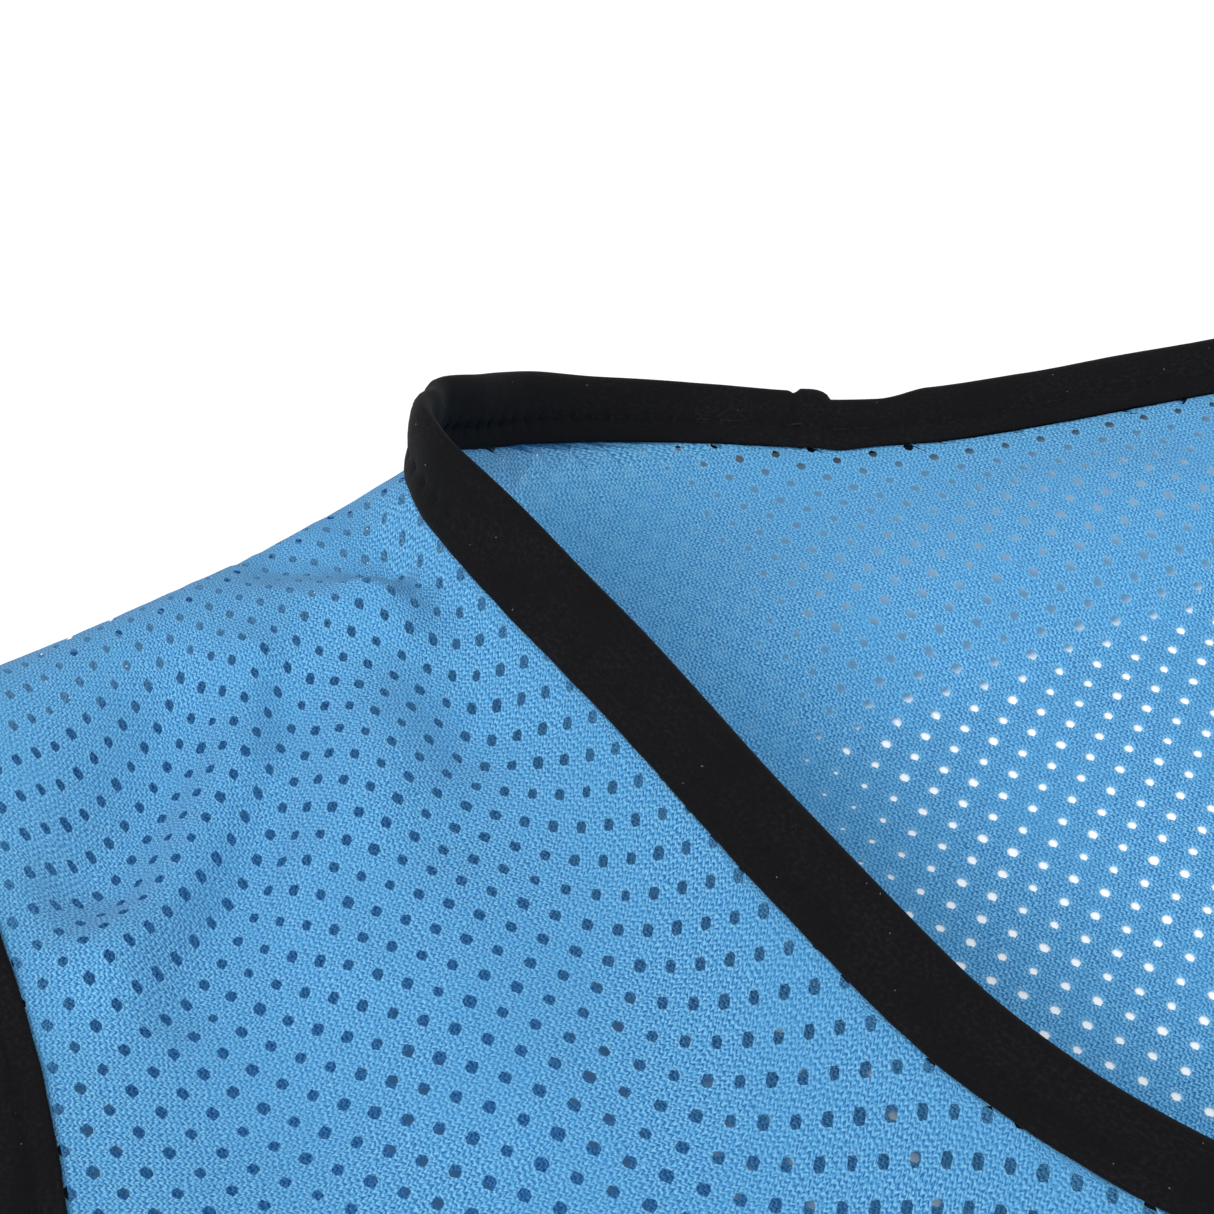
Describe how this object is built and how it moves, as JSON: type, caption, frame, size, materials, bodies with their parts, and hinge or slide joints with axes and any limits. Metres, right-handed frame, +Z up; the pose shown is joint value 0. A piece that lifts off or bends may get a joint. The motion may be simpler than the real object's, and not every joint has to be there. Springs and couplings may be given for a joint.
{
  "type": "training bib",
  "caption": "Sleeveless mesh training bib lying flat with its front up, black tape binding on the neck and armholes, shoulder fold raised, open at neck, arms and hem.",
  "frame": {"origin": "middle of the bib's width and length, on the table it lies on", "axes": "+X across the bib, to the right as seen from above with the neck away, +Y along its length towards the neck, +Z up from the table through the front panel"},
  "size_m": [0.5562, 0.681, 0.0464],
  "materials": {
    "mesh_cloth": "sky blue eyelet mesh knit, matte",
    "tape_cloth": "black knitted binding tape, matte"
  },
  "bodies": {
    "root": {"front_panel": "mesh_cloth", "back_panel": "mesh_cloth", "neck_binding": "tape_cloth", "armhole_binding_left": "tape_cloth", "armhole_binding_right": "tape_cloth"}
  },
  "joints": []
}
